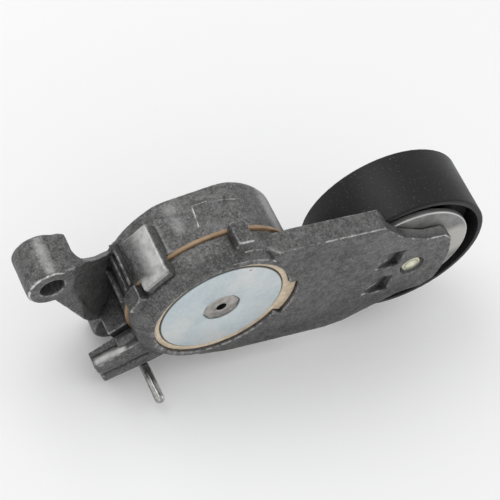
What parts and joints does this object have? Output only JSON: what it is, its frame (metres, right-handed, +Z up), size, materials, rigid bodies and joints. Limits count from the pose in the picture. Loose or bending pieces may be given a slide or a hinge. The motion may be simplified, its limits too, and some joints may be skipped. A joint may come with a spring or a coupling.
{
  "type": "belt tensioner idler",
  "caption": "Automatic belt tensioner: sprung cast arm on a pivot housing with a mounting ear, carrying a smooth flat idler pulley on a ball bearing.",
  "frame": {"origin": "on the arm's pivot axis, at the flat rear mounting face of the base housing", "axes": "+X runs along the arm from the pivot to the pulley axle, +Z is up in the plane of the arm, -Y is the front that shows the cover disc, and the pivot and the pulley axle lie along Y"},
  "size_m": [0.1843, 0.0462, 0.0789],
  "materials": {
    "housing_casting": "as-cast, worn bright on edges and stop faces",
    "arm_casting": "as-cast, worn bright on edges",
    "shaft_steel": "machined",
    "zinc_plate": "bluish zinc plate",
    "bush_polymer": "unfilled beige bearing polymer",
    "cage_polymer": "moulded",
    "spring_steel": "dark phosphated",
    "shield_sheet": "pressed sheet, bright rim",
    "yellow_zinc": "pale yellow zinc plate",
    "bearing_steel": "ground",
    "pulley_plastic": "moulded, smooth running surface",
    "seal_rubber": "moulded",
    "pin_steel": "polished, lightly worn"
  },
  "bodies": {
    "base": {"base_housing": "housing_casting", "pivot_shaft": "shaft_steel", "cover_disc": "zinc_plate", "friction_washer": "bush_polymer", "torsion_spring": "spring_steel", "damper_sleeve": "bush_polymer"},
    "arm": {"tension_arm": "arm_casting", "front_bush": "bush_polymer", "rear_bush": "bush_polymer", "dust_shield": "shield_sheet", "pulley_axle": "yellow_zinc", "axle_spacer": "shaft_steel", "bearing_inner_ring": "bearing_steel"},
    "pulley": {"pulley_rim": "pulley_plastic", "bearing_outer_ring": "bearing_steel", "bearing_seal_front": "seal_rubber", "bearing_seal_rear": "seal_rubber"},
    "ball_set": {"bearing_cage": "cage_polymer", "bearing_ball_1": "bearing_steel", "bearing_ball_2": "bearing_steel", "bearing_ball_3": "bearing_steel", "bearing_ball_4": "bearing_steel", "bearing_ball_5": "bearing_steel", "bearing_ball_6": "bearing_steel", "bearing_ball_7": "bearing_steel", "bearing_ball_8": "bearing_steel"},
    "lock_pin": {"locking_pin": "pin_steel"}
  },
  "joints": [
    {"name": "arm_pivot", "type": "hinge", "parent": "base", "child": "arm", "pos_m": [0, 0, 0], "axis": [0, -1, 0], "range_deg": [-5, 39], "stiffness_Nm_per_rad": 5},
    {"name": "pulley_spin", "type": "hinge", "parent": "arm", "child": "pulley", "pos_m": [0.0802, -0.0164, 0], "axis": [0, -1, 0], "continuous": true},
    {"name": "ball_set_spin", "type": "hinge", "parent": "arm", "child": "ball_set", "pos_m": [0.0802, -0.0164, 0], "axis": [0, -1, 0], "continuous": true},
    {"name": "locking_pin_pull", "type": "slide", "parent": "arm", "child": "lock_pin", "axis": [0, -1, 0], "range_m": [0, 0.028]}
  ],
  "couplings": [
    {"joint": "ball_set_spin", "follows": "pulley_spin", "ratio": 0.61}
  ]
}
